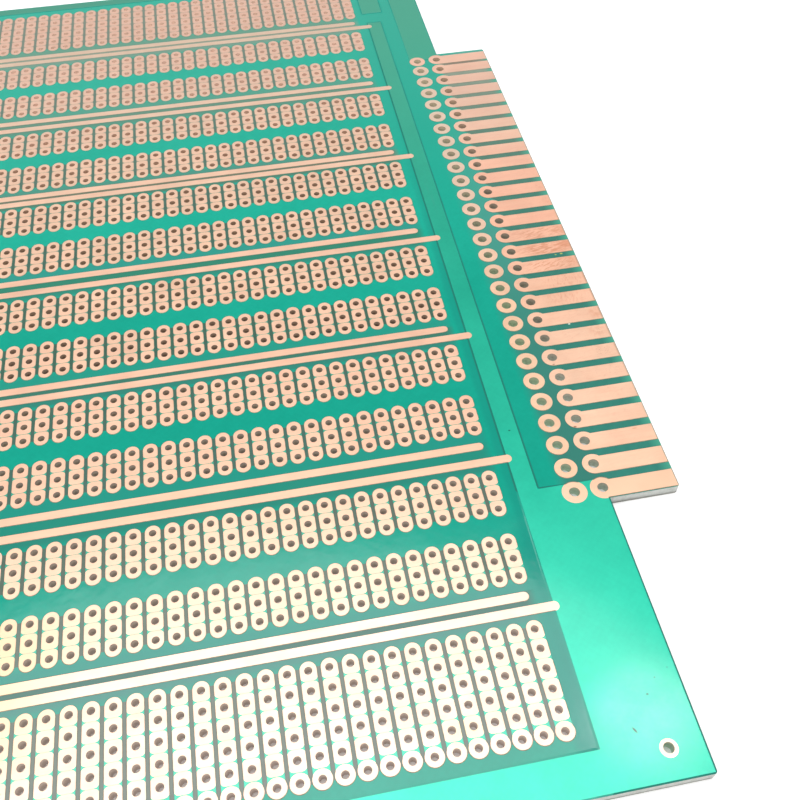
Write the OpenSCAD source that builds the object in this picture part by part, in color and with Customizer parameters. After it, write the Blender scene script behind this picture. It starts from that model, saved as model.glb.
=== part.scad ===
// Bare single-sided prototyping board with a card-edge tab.
//
// Lengths are in millimetres. The sheet lies flat with its copper side up, its
// underside on z = 0 and the middle of its bounding box over the origin. The
// layout itself is drawn from the corner hole of the grid (last column, front
// row) and then moved to that origin: +X is towards the card-edge tab, +Y is
// along the board's length.

/* [Board] */
// Thickness of the glass-epoxy laminate
board_t = 1.6; // [0.8:0.2:2.4]
// Length of the board along Y
board_len = 184; // [184:0.5:200]
// Distance from the front row of holes to the front edge
front_margin = 7.7; // [6.5:0.1:10]
// Distance from the outer hole columns to the side edges
side_margin = 15.25; // [15.25:0.25:20]
// Radius of the sheet's routed corners
corner_r = 0.4; // [0.2:0.1:1]

/* [Hole grid] */
// Hole pitch, the 0.1 inch grid
pitch = 2.54; // [2.54]
// Number of hole columns
columns = 32; // [8:1:34]
// Diameter of the grid holes
hole_d = 1; // [0.8:0.05:1.1]
// Rows in the front block and in the back block
block_rows = 6; // [6]
// Rows in each pad strip of a band
strip_rows = 3; // [3]
// Width of a pad strip
strip_w = 2; // [1.8:0.05:2.05]
// Copper past the last hole of a strip, measured from the hole's centre
strip_end = 1.15; // [1.1:0.01:1.17]
// Diameter of the round pads in the front row
front_pad_d = 2.3; // [2.1:0.05:2.35]

/* [Supply rails] */
// Width of the copper rails
rail_w = 1.2; // [1:0.05:1.25]
// Copper past the outer hole column at a rail's free end
rail_free_end = 0.5; // [0.2:0.1:1.2]
// Distance from the outer hole column to the bus beside it
bus_gap = 3.25; // [3:0.05:3.4]
// Width of the bus beside the connector field
bus_w = 2.75; // [2.5:0.05:2.8]

/* [Card edge] */
// Number of contacts
contacts = 28; // [28]
// Contact pitch
contact_pitch = 3.99; // [3.96:0.01:4]
// Distance from the last contact but one to the last
last_pitch = 3.55; // [3.55:0.01:4]
// How far the tab stands out past the side of the board
tab_out = 9.9; // [8:0.1:12]
// Width of a contact finger
finger_w = 2.72; // [2.4:0.02:2.8]
// Bare laminate between the ends of the fingers and the tab's edge
finger_end = 0.12; // [0.05:0.01:0.3]
// Diameter of the round head of a finger and of the ring pads
ring_d = 3.2; // [3:0.05:3.3]
// Diameter of the holes in heads and ring pads
wire_hole_d = 1.5; // [1.2:0.1:1.6]
// Distance from the outer hole column to the row of ring pads
ring_x = 10.8; // [10.6:0.05:11]
// Distance from the ring pads to the finger heads
head_x = 4; // [3.9:0.05:4.1]

/* [Corner holes] */
// Diameter of the four corner holes
corner_hole_d = 1.3; // [1.2:0.1:1.6]
// Diameter of the clear copper around them
corner_ring_d = 2.2; // [2:0.1:2.6]

/* [Layers] */
// Thickness of the copper foil
copper_t = 0.035; // [0.035:0.005:0.07]
// Thickness of the solder mask where it lies on the laminate
mask_t = 0.06; // [0.06:0.005:0.1]
// Clearance of the mask around bare copper
mask_gap = 0.07; // [0.05:0.01:0.1]

/* [Hidden] */

// First hole row of each band. A band is two rows of strips with one hole row
// left out between them.
band_y = [20.1, 43.9, 66.8, 90.0, 112.1, 135.5];
second = (strip_rows + 1) * pitch;
back_y = 158.6;
// Rails: each pair has one rail on the ground bus and one on the supply side
ground_rail_y = [15.25, 38, 61.7, 84.6, 107.6, 130.1, 153.6];
supply_rail_y = [17.2, 40.75, 63.7, 87.1, 109.4, 132.4, 155.5];
// How far a rail's mask opening runs on to the wide copper it joins
rail_on_bus = 0.65;
bus_end_y = 154.9;

// Edges of the layout
x_last = -(columns - 1) * pitch;
x_left = x_last - side_margin;
x_right = side_margin;
x_tab = x_right + tab_out;
y_front = -front_margin;
y_back = y_front + board_len;
mid_x = (x_left + x_tab) / 2;
mid_y = (y_front + y_back) / 2;

// Card edge
ring_y0 = 30.85;
finger_low = ring_d / 2;
finger_high = finger_w - finger_low;
tab_y0 = ring_y0 - finger_low - 0.2;
tab_y1 = ring_y(contacts - 1) + finger_high + 0.8;
function ring_y(n) = ring_y0 + min(n, contacts - 2) * contact_pitch
                   + max(0, n - contacts + 2) * last_pitch;

// Copper areas
pull_back = 0.2;
field_front = -2.73;
conn_x = bus_gap + bus_w;
conn_y = 32.24;
supply_y = 138.6;
supply_x = 9.35;
back_gap = 2.7;
tongue = [2.7, 6.9, 158.9];
split_y = -1.4;

// Corner holes, set in as far as the one beside the tab
corner_in = [10.9, 4];
corner_xy = [for (x = [x_last - corner_in[0], corner_in[0]],
                  y = [-corner_in[1], y_back + y_front + corner_in[1]]) [x, y]];

// Every strip: first row and number of rows
blocks = concat([[0, block_rows]],
                [for (y = band_y, k = [0, 1]) [y + k * second, strip_rows]],
                [[back_y, block_rows]]);

solder_green = [0.10, 0.62, 0.48];
copper_pink = [0.93, 0.70, 0.55];
glass_epoxy = [0.74, 0.76, 0.66];

$fn = 48;

module place(z = 0) { translate([-mid_x, -mid_y, z]) children(); }

module bar(x0, x1, y0, y1) { translate([x0, y0]) square([x1 - x0, y1 - y0]); }

// A bar with round ends along X
module rail(x0, x1, y, w) {
    bar(x0 + w / 2, x1 - w / 2, y - w / 2, y + w / 2);
    for (x = [x0 + w / 2, x1 - w / 2]) translate([x, y]) circle(d = w);
}

module rounded(x0, x1, y0, y1, r) {
    bar(x0 + r, x1 - r, y0, y1);
    bar(x0, x1, y0 + r, y1 - r);
    for (x = [x0 + r, x1 - r], y = [y0 + r, y1 - r]) translate([x, y]) circle(r);
}

module outline() {
    rounded(x_left, x_right, y_front, y_back, corner_r);
    rounded(x_right - 2, x_tab, tab_y0, tab_y1, corner_r);
}

module columns_at(y0, rows) {
    for (c = [0 : columns - 1], r = [0 : rows - 1])
        translate([-c * pitch, y0 + r * pitch]) children();
}

module grid_holes() { for (b = blocks) columns_at(b[0], b[1]) circle(d = hole_d); }

module contact_row(first, last, x) {
    for (n = [first : last]) translate([x, ring_y(n)]) children();
}

module wire_holes() {
    contact_row(0, contacts - 1, ring_x) circle(d = wire_hole_d);
    contact_row(0, contacts - 1, ring_x + head_x) circle(d = wire_hole_d);
}

module corner_holes() { for (p = corner_xy) translate(p) circle(d = corner_hole_d); }

// Plan of one copper strip, drawn from its first hole
module strip_plan(rows, grow = 0) {
    w = strip_w + 2 * grow;
    e = strip_end + grow;
    bar(-w / 2, w / 2, w / 2 - e, (rows - 1) * pitch + e - w / 2);
    for (y = [w / 2 - e, (rows - 1) * pitch + e - w / 2])
        translate([0, y]) circle(d = w);
}

module strips_plan(b) {
    for (c = [0 : columns - 1]) translate([-c * pitch, b[0]]) strip_plan(b[1]);
    if (b[0] == 0)
        for (c = [0 : columns - 1]) translate([-c * pitch, 0]) circle(d = front_pad_d);
}

// Plan of one contact: round head, and a finger that stops short of the tab's edge
module finger_plan(grow = 0, short = finger_end) {
    circle(d = ring_d + 2 * grow);
    bar(0, x_tab - ring_x - head_x - short, -finger_low - grow, finger_high + grow);
}

module ground_plan() {
    bar(x_left + pull_back, x_right - pull_back, y_front + pull_back, field_front);
    bar(bus_gap, x_right - pull_back, y_front + pull_back, conn_y);
    bar(bus_gap, conn_x, field_front, bus_end_y);
    for (y = ground_rail_y)
        rail(x_last - rail_free_end, bus_gap + bus_w / 2, y, rail_w);
    translate([ring_x, ring_y0]) circle(d = ring_d);
    translate([ring_x + head_x, ring_y0]) finger_plan();
}

module supply_plan() {
    bar(x_left + pull_back, x_right - pull_back, y_back - pull_back - 2.1, y_back - pull_back);
    bar(x_left + pull_back, x_last - bus_gap, split_y, y_back - pull_back);
    bar(supply_x, x_right - pull_back, supply_y, y_back - pull_back);
    bar(tongue[0], tongue[1], tongue[2], y_back - pull_back);
    for (y = supply_rail_y)
        rail(x_last - bus_gap - bus_w / 2, rail_free_end, y, rail_w);
    translate([ring_x, ring_y(contacts - 1)]) circle(d = ring_d);
    translate([ring_x + head_x, ring_y(contacts - 1)]) finger_plan();
}

// Openings in the solder mask, one slot to a strip
module mask_openings() {
    for (b = blocks) {
        for (c = [0 : columns - 1])
            translate([-c * pitch, b[0]]) strip_plan(b[1], mask_gap);
        if (b[0] == 0) columns_at(0, 1) circle(d = front_pad_d + 2 * mask_gap);
    }
    for (y = ground_rail_y)
        rail(x_last - rail_free_end - mask_gap, bus_gap + rail_on_bus, y, rail_w + 2 * mask_gap);
    for (y = supply_rail_y)
        rail(x_last - bus_gap - rail_on_bus, rail_free_end + mask_gap, y, rail_w + 2 * mask_gap);
    contact_row(0, contacts - 1, ring_x) circle(d = ring_d + 2 * mask_gap);
    translate([ring_x, ring_y0]) circle(d = ring_d + 0.36);
    contact_row(0, contacts - 1, ring_x + head_x) finger_plan(mask_gap, 0);
    for (p = corner_xy) translate(p) circle(d = corner_ring_d);
}

module laminate() {
    color(glass_epoxy) place() linear_extrude(board_t) difference() {
        outline();
        grid_holes();
        wire_holes();
        corner_holes();
    }
}

module solder_mask() {
    color(solder_green) place(board_t) difference() {
        linear_extrude(mask_t) difference() {
            outline();
            mask_openings();
        }
        linear_extrude(copper_t) {
            ground_plan();
            supply_plan();
        }
    }
}

module rails_ground() {
    color(copper_pink) place(board_t) linear_extrude(copper_t) difference() {
        ground_plan();
        contact_row(0, 0, ring_x) circle(d = wire_hole_d);
        contact_row(0, 0, ring_x + head_x) circle(d = wire_hole_d);
        corner_holes();
    }
}

module rails_supply() {
    color(copper_pink) place(board_t) linear_extrude(copper_t) difference() {
        supply_plan();
        contact_row(contacts - 1, contacts - 1, ring_x) circle(d = wire_hole_d);
        contact_row(contacts - 1, contacts - 1, ring_x + head_x) circle(d = wire_hole_d);
        corner_holes();
    }
}

// One row of strips, numbered from the front
module strips(n) {
    color(copper_pink) place(board_t) linear_extrude(copper_t) difference() {
        strips_plan(blocks[n]);
        columns_at(blocks[n][0], blocks[n][1]) circle(d = hole_d);
    }
}

module edge_fingers() {
    color(copper_pink) place(board_t) linear_extrude(copper_t) difference() {
        contact_row(1, contacts - 2, ring_x + head_x) finger_plan();
        contact_row(1, contacts - 2, ring_x + head_x) circle(d = wire_hole_d);
    }
}

module ring_pads() {
    color(copper_pink) place(board_t) linear_extrude(copper_t) difference() {
        contact_row(1, contacts - 2, ring_x) circle(d = ring_d);
        contact_row(1, contacts - 2, ring_x) circle(d = wire_hole_d);
    }
}

laminate();
solder_mask();
rails_ground();
rails_supply();
strips(0);  // strips_front
strips(1);  // strips_a1
strips(2);  // strips_a2
strips(3);  // strips_b1
strips(4);  // strips_b2
strips(5);  // strips_c1
strips(6);  // strips_c2
strips(7);  // strips_d1
strips(8);  // strips_d2
strips(9);  // strips_e1
strips(10);  // strips_e2
strips(11);  // strips_f1
strips(12);  // strips_f2
strips(13);  // strips_back
edge_fingers();
ring_pads();
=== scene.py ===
# Looks of a bare single-sided prototyping board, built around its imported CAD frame.
import math

import bpy
import numpy as np
from mathutils import Matrix, Vector
from mathutils.geometry import delaunay_2d_cdt


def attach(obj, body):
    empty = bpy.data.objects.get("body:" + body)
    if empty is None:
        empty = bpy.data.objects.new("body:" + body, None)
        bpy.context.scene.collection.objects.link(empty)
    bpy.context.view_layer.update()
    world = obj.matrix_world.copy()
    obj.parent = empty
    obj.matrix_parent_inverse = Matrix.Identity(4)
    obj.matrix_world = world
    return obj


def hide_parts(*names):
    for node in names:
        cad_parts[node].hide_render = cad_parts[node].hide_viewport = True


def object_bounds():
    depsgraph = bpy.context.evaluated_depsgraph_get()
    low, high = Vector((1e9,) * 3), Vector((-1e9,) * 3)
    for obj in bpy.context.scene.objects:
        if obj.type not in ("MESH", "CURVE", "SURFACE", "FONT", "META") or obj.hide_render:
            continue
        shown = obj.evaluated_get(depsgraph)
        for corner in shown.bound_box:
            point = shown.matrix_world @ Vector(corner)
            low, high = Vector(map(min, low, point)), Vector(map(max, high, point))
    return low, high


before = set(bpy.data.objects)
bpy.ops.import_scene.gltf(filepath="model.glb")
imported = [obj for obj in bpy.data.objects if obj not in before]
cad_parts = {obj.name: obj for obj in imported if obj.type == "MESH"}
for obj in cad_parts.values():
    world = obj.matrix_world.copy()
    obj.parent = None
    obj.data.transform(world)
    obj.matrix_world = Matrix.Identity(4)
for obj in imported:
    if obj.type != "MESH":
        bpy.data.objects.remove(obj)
cad_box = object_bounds()
SC = bpy.context.scene
RNG = np.random.default_rng(11)

# ---------------------------------------------------------------- layout, in millimetres
PITCH, COLS = 2.54, 32
BOARD_T, CU_T, MASK_T = 1.6, 0.035, 0.06
X_LAST = -(COLS - 1) * PITCH
X_RIGHT = 15.25
X_LEFT = X_LAST - 15.25
X_TAB = X_RIGHT + 9.9
Y_FRONT, Y_BACK = -7.7, 176.3
HOLE_R, WIRE_R, CORNER_R = 0.5, 0.75, 0.65
STRIP_W, STRIP_END, GAP = 2.0, 1.15, 0.07
FRONT_PAD_R = 1.15
RAIL_W = 1.2
RING_X, HEAD_X, RING_R = 10.8, 14.8, 1.6
RING_Y0, CPITCH, CONTACTS, LAST_STEP = 30.85, 3.99, 28, 3.55
F_LOW, F_HIGH = 1.6, 1.12
FINGER_END = 0.12
TAB_Y0, TAB_Y1 = 29.05, 140.06
MASK_DY = -0.04                # the mask sits a little towards -Y of the copper
BUS0, BUS1 = 3.25, 6.0
BANDS = [20.1, 43.9, 66.8, 90.0, 112.1, 135.5]
BLOCKS = [(0.0, 6)] + [(y + k * 4 * PITCH, 3) for y in BANDS for k in (0, 1)] + [(158.6, 6)]
G_RAILS = [15.25, 38.0, 61.7, 84.6, 107.6, 130.1, 153.6]
S_RAILS = [17.2, 40.75, 63.7, 87.1, 109.4, 132.4, 155.5]
CORNERS = [(x, y) for x in (X_LAST - 10.9, 10.9) for y in (-4.0, Y_BACK + Y_FRONT + 4.0)]
LO, HI = cad_box
MIDX, MIDY = (X_LEFT + X_TAB) / 2, (Y_FRONT + Y_BACK) / 2
RINGS_Y = [RING_Y0 + n * CPITCH for n in range(CONTACTS - 1)]
RINGS_Y.append(RINGS_Y[-1] + LAST_STEP)
ROWS = [y + r * PITCH for y, n in BLOCKS for r in range(n)]
Z_CU = BOARD_T + CU_T          # top of the copper
Z_HI = BOARD_T + MASK_T        # top of the mask where copper lies under it
Z_LO = BOARD_T + 0.032         # top of the mask on the laminate


def arc(cx, cy, r, n, a0=0.0, a1=360.0):
    full = abs(a1 - a0) >= 360
    k = np.radians(a0 + (a1 - a0) * np.arange(n if full else n + 1) / n)
    return np.c_[cx + r * np.cos(k), cy + r * np.sin(k)]


def rounded(x0, x1, y0, y1, r, n=5):
    return np.vstack([arc(x1 - r, y0 + r, r, n, -90, 0), arc(x1 - r, y1 - r, r, n, 0, 90),
                      arc(x0 + r, y1 - r, r, n, 90, 180), arc(x0 + r, y0 + r, r, n, 180, 270)])


def rect(x0, x1, y0, y1):
    return np.array([(x0, y0), (x1, y0), (x1, y1), (x0, y1)], float)


def stadium_y(w, e, rows, n=12, x=0.0, y=0.0):
    """A strip along Y from its first hole, with round ends."""
    r = w / 2
    hi = (rows - 1) * PITCH + e - r
    return np.vstack([arc(x, y + hi, r, n, 0, 180), arc(x, y + r - e, r, n, 180, 360)])


def stadium_x(x0, x1, y, w, n=12):
    r = w / 2
    return np.vstack([arc(x1 - r, y, r, n, -90, 90), arc(x0 + r, y, r, n, 90, 270)])


# ---------------------------------------------------------------- plan functions on arrays
def in_rect(x, y, x0, x1, y0, y1, g=0.0):
    return (x >= x0 - g) & (x <= x1 + g) & (y >= y0 - g) & (y <= y1 + g)


def in_disc(x, y, cx, cy, r):
    return (x - cx) ** 2 + (y - cy) ** 2 <= r * r


def in_rounded(x, y, x0, x1, y0, y1, r, g=0.0):
    dx = np.maximum(np.maximum(x0 + r - x, x - (x1 - r)), 0)
    dy = np.maximum(np.maximum(y0 + r - y, y - (y1 - r)), 0)
    return (dx * dx + dy * dy <= (r + g) ** 2) & in_rect(x, y, x0, x1, y0, y1, g)


def in_outline(x, y):
    return in_rounded(x, y, X_LEFT, X_RIGHT, Y_FRONT, Y_BACK, 0.4) | in_rounded(x, y, X_RIGHT - 2, X_TAB, TAB_Y0, TAB_Y1, 0.4)


def near_col(x):
    c = np.clip(np.round(-x / PITCH), 0, COLS - 1)
    return x + c * PITCH


def in_grid_hole(x, y, r=HOLE_R):
    dx = near_col(x)
    out = np.zeros(x.shape, bool)
    for ry in ROWS:
        m = np.abs(y - ry) <= r
        out[m] |= dx[m] ** 2 + (y[m] - ry) ** 2 <= r * r
    return out


def in_strips(x, y, g=0.0):
    dx = near_col(x)
    out = np.zeros(x.shape, bool)
    r = STRIP_W / 2
    for y0, rows in BLOCKS:
        lo, hi = y0 + r - STRIP_END, y0 + (rows - 1) * PITCH + STRIP_END - r
        dy = np.maximum(np.maximum(lo - y, y - hi), 0)
        out |= dx * dx + dy * dy <= (r + g) ** 2
    out |= dx * dx + y * y <= (FRONT_PAD_R + g) ** 2
    return out


G_RECTS = [(X_LEFT + 0.2, X_RIGHT - 0.2, Y_FRONT + 0.2, -2.73), (BUS0, X_RIGHT - 0.2, Y_FRONT + 0.2, 32.24),
           (BUS0, BUS1, -2.73, 154.9)]
S_RECTS = [(X_LEFT + 0.2, X_RIGHT - 0.2, Y_BACK - 2.3, Y_BACK - 0.2), (X_LEFT + 0.2, X_LAST - BUS0, -1.4, Y_BACK - 0.2),
           (9.35, X_RIGHT - 0.2, 138.6, Y_BACK - 0.2), (2.7, 6.9, 158.9, Y_BACK - 0.2)]
G_BARS = [(X_LAST - 0.5, (BUS0 + BUS1) / 2, y) for y in G_RAILS]
S_BARS = [(X_LAST - (BUS0 + BUS1) / 2, 0.5, y) for y in S_RAILS]


def in_finger(x, y, cy, g=0.0, end=X_TAB - FINGER_END, head=None):
    return in_disc(x, y, HEAD_X, cy, RING_R + (g if head is None else head)) | (in_rect(x, y, HEAD_X, end, cy - F_LOW - g, cy + F_HIGH + g) & (x <= end))


def in_bar(x, y, b, g=0.0):
    r = RAIL_W / 2
    dx = np.maximum(np.maximum(b[0] + r - x, x - (b[1] - r)), 0)
    return dx * dx + (y - b[2]) ** 2 <= (r + g) ** 2


def in_ground(x, y, g=0.0):
    out = in_disc(x, y, RING_X, RINGS_Y[0], RING_R + g) | in_finger(x, y, RINGS_Y[0], g)
    for r in G_RECTS:
        out |= in_rect(x, y, *r, g)
    for b in G_BARS:
        out |= in_bar(x, y, b, g)
    return out


def in_supply(x, y, g=0.0):
    out = in_disc(x, y, RING_X, RINGS_Y[-1], RING_R + g) | in_finger(x, y, RINGS_Y[-1], g)
    for r in S_RECTS:
        out |= in_rect(x, y, *r, g)
    for b in S_BARS:
        out |= in_bar(x, y, b, g)
    return out


def in_copper(x, y, g=0.0):
    return in_ground(x, y, g) | in_supply(x, y, g) | in_strips(x, y, g)


# Mask openings: a rounded square over each hole, with a thin web left between neighbours
OW, OH, OR = STRIP_W / 2 + GAP, PITCH / 2 - 0.020, 0.60
RING_HOLE = (-0.05, -0.08, 1.60)          # opening over a ring pad: offset from the ring and radius
HEAD_HOLE = (0.0, -0.04, 1.63)            # and over a finger's round head
WIDE_HOLE = (0.0, 0.0, 1.76)              # both at the first contact


def pad_open_loop(first, last):
    """Opening over one hole. The outer end of a strip's end pads follows the strip's round end."""
    up = np.vstack([arc(OW - OR, OH - OR, OR, 3, 0, 90), arc(OR - OW, OH - OR, OR, 3, 90, 180)])
    end = arc(0, STRIP_END - STRIP_W / 2, OW, 10, 0, 180)
    top = end if last else up
    low = (end if first else up) * [-1, -1]
    return np.vstack([top, low])


def in_poly(x, y, loop):
    out = np.zeros(x.shape, bool)
    x0, y0 = loop[:, 0], loop[:, 1]
    x1, y1 = np.roll(x0, -1), np.roll(y0, -1)
    for a, b, c, d in zip(x0, y0, x1, y1):
        if b == d:
            continue
        m = ((b > y) != (d > y)) & (x < (c - a) * (y - b) / (d - b) + a)
        out ^= m
    return out


OPEN_MID, OPEN_FIRST, OPEN_LAST = pad_open_loop(False, False), pad_open_loop(True, False), pad_open_loop(False, True)
FRONT_OPEN = arc(0, 0, FRONT_PAD_R + GAP, 24)


def open_of(b, r):
    y0, rows = BLOCKS[b]
    if b == 0 and r == 0:
        return FRONT_OPEN
    return OPEN_FIRST if r == 0 else OPEN_LAST if r == rows - 1 else OPEN_MID


G_OPEN = [(X_LAST - 0.5 - GAP, BUS0 + 0.65, y) for y in G_RAILS]
S_OPEN = [(X_LAST - BUS0 - 0.65, 0.5 + GAP, y) for y in S_RAILS]


def in_openings(x, y):
    y = y - MASK_DY
    out = np.zeros(x.shape, bool)
    dx = near_col(x)
    for b, (y0, rows) in enumerate(BLOCKS):
        for r in range(rows):
            cy = y0 + r * PITCH
            m = (np.abs(y - cy) < 1.4) & (np.abs(dx) < 1.4)
            if m.any():
                out[m] |= in_poly(dx[m], y[m] - cy, open_of(b, r))
    w = RAIL_W / 2 + GAP
    for x0, x1, cy in G_OPEN + S_OPEN:
        d = np.maximum(np.maximum(x0 + w - x, x - (x1 - w)), 0)
        out |= d * d + (y - cy) ** 2 <= w * w
    for n, cy in enumerate(RINGS_Y):
        (rx, ry, rr), (hx, hy, hr) = (RING_HOLE, HEAD_HOLE) if n else (WIDE_HOLE, WIDE_HOLE)
        out |= in_disc(x, y, RING_X + rx, cy + ry, rr) | in_disc(x, y, HEAD_X + hx, cy + hy, hr)
        out |= in_rect(x, y, HEAD_X, X_TAB + 1, cy - F_LOW - GAP, cy + F_HIGH + GAP)
    for cx, cy in CORNERS:
        out |= in_disc(x, y, cx, cy, 1.1)
    return out


def in_gaps(x, y):
    """Between two strips of a block, where the film is thin; the darker film there is partly painted shade."""
    dx = np.abs(near_col(x))
    out = np.zeros(x.shape, bool)
    for y0, rows in BLOCKS:
        out |= (y > y0 - 0.35) & (y < y0 + (rows - 1) * PITCH + 0.35)
    return out & (dx > 0.97) & (x < 0) & (x > X_LAST)


# ---------------------------------------------------------------- mesh making
def triangulate(loops):
    """Delaunay triangles with every loop's edges kept: points (N, 2) and anticlockwise triangles (M, 3)."""
    pts = np.vstack(loops)
    edges, base = [], 0
    for lp in loops:
        n = len(lp)
        if n == 2:
            edges.append((base, base + 1))
        else:
            edges += [(base + i, base + (i + 1) % n) for i in range(n)]
        base += n
    out = delaunay_2d_cdt([Vector((float(a), float(b))) for a, b in pts], edges, [], 0, 1e-6, False)
    v = np.array([(p[0], p[1]) for p in out[0]])
    t = np.array([f[:] for f in out[2]], int)
    a, b, c = v[t[:, 0]], v[t[:, 1]], v[t[:, 2]]
    area = (b[:, 0] - a[:, 0]) * (c[:, 1] - a[:, 1]) - (b[:, 1] - a[:, 1]) * (c[:, 0] - a[:, 0])
    t[area < 0] = t[area < 0][:, ::-1]
    return v, t[np.abs(area) > 1e-9]


def slab(loops, keep, ztop, zbot, top_mat=None, wall_mat=None, bottom_mat=0):
    """Closed layer over the kept triangles. Heights come from functions of x and y, materials from functions too."""
    v, t = triangulate(loops)
    c = v[t].mean(1)
    t = t[keep(c[:, 0], c[:, 1])]
    used = np.unique(t)
    new = np.full(len(v), -1)
    new[used] = np.arange(len(used))
    v, t = v[used], new[t]
    c = v[t].mean(1)
    n = len(v)
    e = np.vstack([t[:, [0, 1]], t[:, [1, 2]], t[:, [2, 0]]])
    key = e[:, 0].astype(np.int64) * n + e[:, 1]
    rev = e[:, 1].astype(np.int64) * n + e[:, 0]
    e = e[~np.isin(key, rev)]
    co = np.vstack([np.c_[v, ztop(v[:, 0], v[:, 1]) + np.zeros(n)], np.c_[v, zbot(v[:, 0], v[:, 1]) + np.zeros(n)]])
    walls = np.c_[e[:, 0] + n, e[:, 1] + n, e[:, 1], e[:, 0]]
    mid = (v[e[:, 0]] + v[e[:, 1]]) / 2
    tm = np.zeros(len(t), int) if top_mat is None else top_mat(c[:, 0], c[:, 1], t, co)
    wm = np.zeros(len(walls), int) if wall_mat is None else wall_mat(mid[:, 0], mid[:, 1])
    return co, t, t[:, ::-1] + n, walls, tm, np.full(len(t), bottom_mat), wm


def to_object(name, parts, mats, node=None, smooth_walls=True):
    """parts is a list of (coordinates in mm, triangles, quads, triangle materials, quad materials)."""
    cos, tris, quads, tms, qms, base = [], [], [], [], [], 0
    for co, t, q, tm, qm in parts:
        cos.append(co)
        tris.append(t + base)
        quads.append(q + base)
        tms.append(tm)
        qms.append(qm)
        base += len(co)
    co = np.vstack(cos)
    co = (co - [MIDX, MIDY, 0]) * 0.001
    t, q = np.vstack(tris), np.vstack(quads)
    me = bpy.data.meshes.new(name)
    me.vertices.add(len(co))
    me.vertices.foreach_set("co", co.astype(np.float32).ravel())
    nl = 3 * len(t) + 4 * len(q)
    me.loops.add(nl)
    me.loops.foreach_set("vertex_index", np.concatenate([t.ravel(), q.ravel()]).astype(np.int32))
    me.polygons.add(len(t) + len(q))
    start = np.concatenate([3 * np.arange(len(t)), 3 * len(t) + 4 * np.arange(len(q))])
    me.polygons.foreach_set("loop_start", start.astype(np.int32))
    me.polygons.foreach_set("material_index", np.concatenate(tms + qms).astype(np.int32))
    me.polygons.foreach_set("use_smooth", np.concatenate([np.zeros(len(t), bool), np.full(len(q), smooth_walls)]))
    for m in mats:
        me.materials.append(m)
    me.update(calc_edges=True)
    me.validate()
    ob = bpy.data.objects.new(name, me)
    SC.collection.objects.link(ob)
    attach(ob, "root")
    if node:
        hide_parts(*([node] if isinstance(node, str) else node))
    return ob


def slab_part(s):
    co, top, bot, walls, tm, bm, wm = s
    return co, np.vstack([top, bot]), walls, np.concatenate([tm, bm]), wm


# ---------------------------------------------------------------- materials
def material(name):
    m = bpy.data.materials.new(name)
    m.use_nodes = True
    nt = m.node_tree
    for n in list(nt.nodes):
        nt.nodes.remove(n)
    out = nt.nodes.new("ShaderNodeOutputMaterial")
    bsdf = nt.nodes.new("ShaderNodeBsdfPrincipled")
    nt.links.new(bsdf.outputs[0], out.inputs[0])
    pos = nt.nodes.new("ShaderNodeTexCoord")
    return m, nt, bsdf, pos.outputs["Object"]


def N(nt, kind, **kw):
    n = nt.nodes.new(kind)
    for k, val in kw.items():
        if k.startswith("_"):
            setattr(n, k[1:], val)
        else:
            n.inputs[k.replace("__", " ")].default_value = val
    return n


def noise(nt, co, scale, detail=3.0, rough=0.55, stretch=None, offset=0.0):
    if stretch is not None or offset:
        mp = nt.nodes.new("ShaderNodeMapping")
        if stretch is not None:
            mp.inputs["Scale"].default_value = stretch
        mp.inputs["Location"].default_value = (offset, offset * 1.7, offset * 0.3)
        nt.links.new(co, mp.inputs["Vector"])
        co = mp.outputs[0]
    n = N(nt, "ShaderNodeTexNoise", Scale=scale, Detail=detail, Roughness=rough)
    nt.links.new(co, n.inputs["Vector"])
    return n.outputs["Fac"]


def ramp(nt, fac, stops, interp="LINEAR"):
    r = nt.nodes.new("ShaderNodeValToRGB")
    r.color_ramp.interpolation = interp
    el = r.color_ramp.elements
    while len(el) < len(stops):
        el.new(0.5)
    for e, (p, c) in zip(el, stops):
        e.position = p
        e.color = (*c, 1) if len(c) == 3 else c
    nt.links.new(fac, r.inputs[0])
    return r.outputs[0]


def gray(v):
    return (v, v, v)


def mix(nt, fac, a, b, mode="MIX"):
    m = nt.nodes.new("ShaderNodeMix")
    m.data_type = "RGBA"
    m.blend_type = mode
    for val, idx in ((fac, 0), (a, 6), (b, 7)):
        if isinstance(val, (int, float)):
            m.inputs[idx].default_value = val
        elif isinstance(val, tuple):
            m.inputs[idx].default_value = (*val, 1)
        else:
            nt.links.new(val, m.inputs[idx])
    return m.outputs[2]


def math_node(nt, op, a, b=0.0, c=None):
    m = nt.nodes.new("ShaderNodeMath")
    m.operation = op
    for i, val in enumerate((a, b) if c is None else (a, b, c)):
        if isinstance(val, (int, float)):
            m.inputs[i].default_value = val
        else:
            nt.links.new(val, m.inputs[i])
    return m.outputs[0]


def bump(nt, bsdf, height, strength, distance, normal=None):
    b = N(nt, "ShaderNodeBump", Strength=strength, Distance=distance)
    nt.links.new(height, b.inputs["Height"])
    if normal is not None:
        nt.links.new(normal, b.inputs["Normal"])
    nt.links.new(b.outputs[0], bsdf.inputs["Normal"])
    return b.outputs[0]


def weave(nt, co, thread=0.00055):
    """Faint plain weave of the glass cloth: 0 to 1."""
    sep = nt.nodes.new("ShaderNodeSeparateXYZ")
    nt.links.new(co, sep.inputs[0])
    k = math.pi / thread
    a = math_node(nt, "SINE", math_node(nt, "MULTIPLY", sep.outputs[0], k))
    b = math_node(nt, "SINE", math_node(nt, "MULTIPLY", sep.outputs[1], k))
    return math_node(nt, "MULTIPLY_ADD", math_node(nt, "MULTIPLY", a, b), 0.5, 0.5)


def at(x, y):
    """Object coordinates of a point of the layout."""
    return (x - MIDX) / 1000, (y - MIDY) / 1000


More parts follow.
